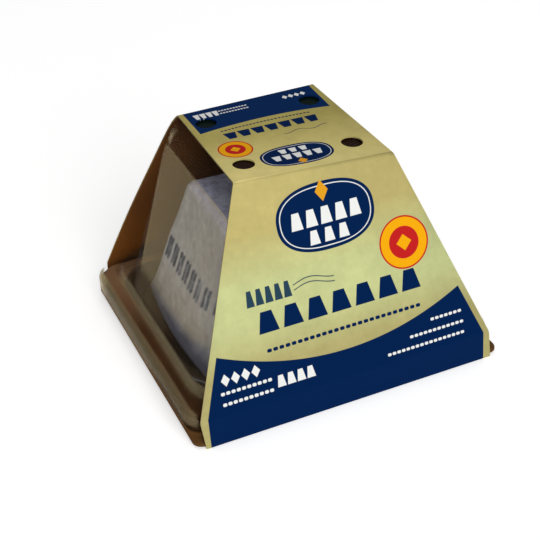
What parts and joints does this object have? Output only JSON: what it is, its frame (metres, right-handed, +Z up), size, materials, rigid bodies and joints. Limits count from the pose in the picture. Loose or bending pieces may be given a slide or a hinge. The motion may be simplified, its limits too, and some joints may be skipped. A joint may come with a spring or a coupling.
{
  "type": "goat cheese pyramid in a retail pack",
  "caption": "Ash-coated goat cheese, a truncated pyramid, shut under a clear dome on a brown tray inside a printed card sleeve.",
  "frame": {"origin": "centre of the footprint on the surface that the pack stands on", "axes": "+Z up; -Y out of the front panel of the sleeve; +X to the right seen from the front"},
  "size_m": [0.0947, 0.0888, 0.0645],
  "materials": {
    "ash_rind": "matte, powdery blue-grey ash and pale mould rind",
    "brown_plastic": "satin thermoformed plastic",
    "clear_plastic": "thin clear thermoformed plastic with a slight haze",
    "printed_card": "semi-matte printed card outside, bare brown card inside"
  },
  "bodies": {
    "root": {"cheese": "ash_rind", "tray": "brown_plastic", "dome": "clear_plastic", "sleeve": "printed_card"}
  },
  "joints": []
}
